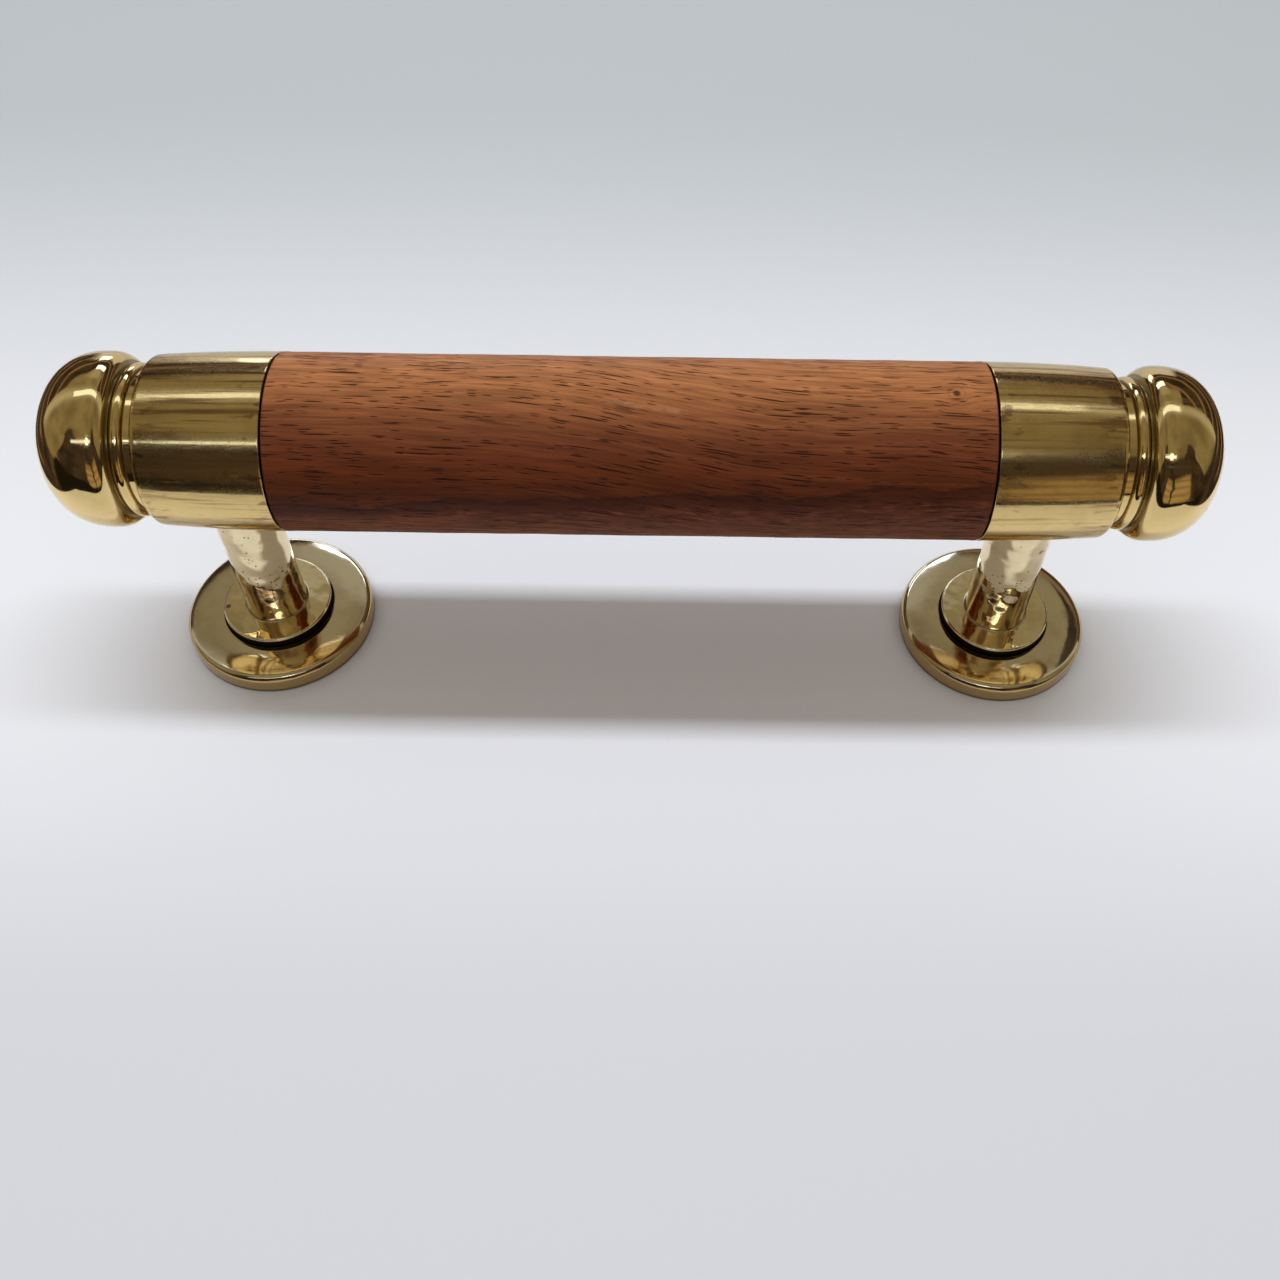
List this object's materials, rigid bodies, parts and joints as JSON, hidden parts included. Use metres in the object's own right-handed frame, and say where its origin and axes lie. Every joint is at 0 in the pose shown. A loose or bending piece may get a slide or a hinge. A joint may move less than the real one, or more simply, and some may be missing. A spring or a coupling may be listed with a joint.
{
  "type": "grab rail",
  "caption": "Short straight grab rail: a round hardwood grip held between brass sockets with turned bun finials, standing off its mounting surface on round brass posts with flat roses.",
  "frame": {"origin": "midway between the roses on the plane of their flat undersides, which is the mounting surface", "axes": "+X along the rail, +Z from the mounting surface towards the grip, +Y across the rail"},
  "size_m": [0.2476, 0.0448, 0.0821],
  "materials": {
    "grip_hardwood": "oiled reddish-brown hardwood with short dark pores along the grain and a low sheen",
    "brushed_brass": "brass turned and lightly brushed round the rail, a little dull, with fine scratches",
    "polished_brass": "mirror-polished brass with a few casting pits and slight tarnish in the corners",
    "plated_steel": "dull zinc-plated steel, hidden inside the rail"
  },
  "bodies": {
    "root": {"wood_grip": "grip_hardwood", "tie_rod": "plated_steel", "left_ferrule": "brushed_brass", "right_ferrule": "brushed_brass", "left_finial": "polished_brass", "right_finial": "polished_brass", "left_post": "polished_brass", "right_post": "polished_brass", "left_rose": "polished_brass", "right_rose": "polished_brass", "left_rod_washer": "plated_steel", "right_rod_washer": "plated_steel", "left_rod_nut": "plated_steel", "right_rod_nut": "plated_steel"}
  },
  "joints": []
}
